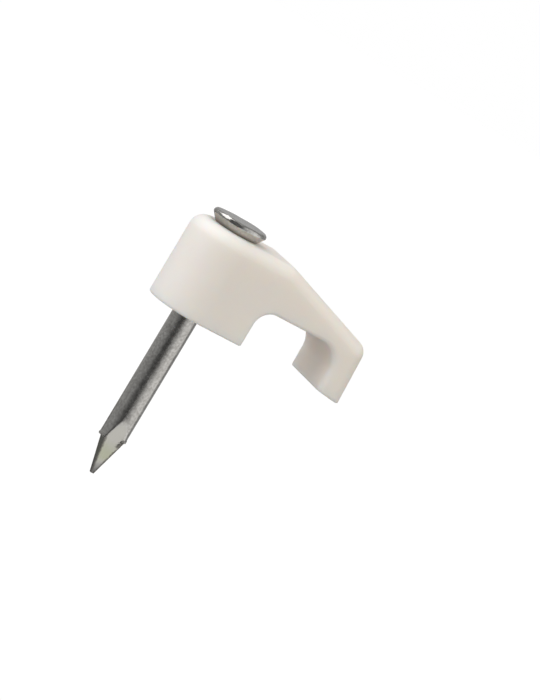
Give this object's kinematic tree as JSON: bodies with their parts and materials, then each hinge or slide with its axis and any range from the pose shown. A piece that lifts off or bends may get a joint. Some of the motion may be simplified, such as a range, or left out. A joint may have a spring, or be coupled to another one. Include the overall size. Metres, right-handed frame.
{
  "type": "nail-in cable clip",
  "caption": "Moulded plastic clip for flat cable: a round boss holds a steel nail, and a sloping arm with a leg closes a channel against the wall.",
  "frame": {"origin": "on the nail's axis, in the plane of the wall that the boss's base rests on", "axes": "+Z along the nail, out of the wall to its head; +X from the nail across the cable channel to the leg; +Y along the cable"},
  "size_m": [0.0159, 0.0062, 0.0209],
  "materials": {
    "white_plastic": "satin moulded plastic, warm white, slightly translucent",
    "bright_steel": "bright drawn steel wire with fine lengthwise draw lines"
  },
  "bodies": {
    "root": {"clip_body": "white_plastic", "nail": "bright_steel"}
  },
  "joints": []
}
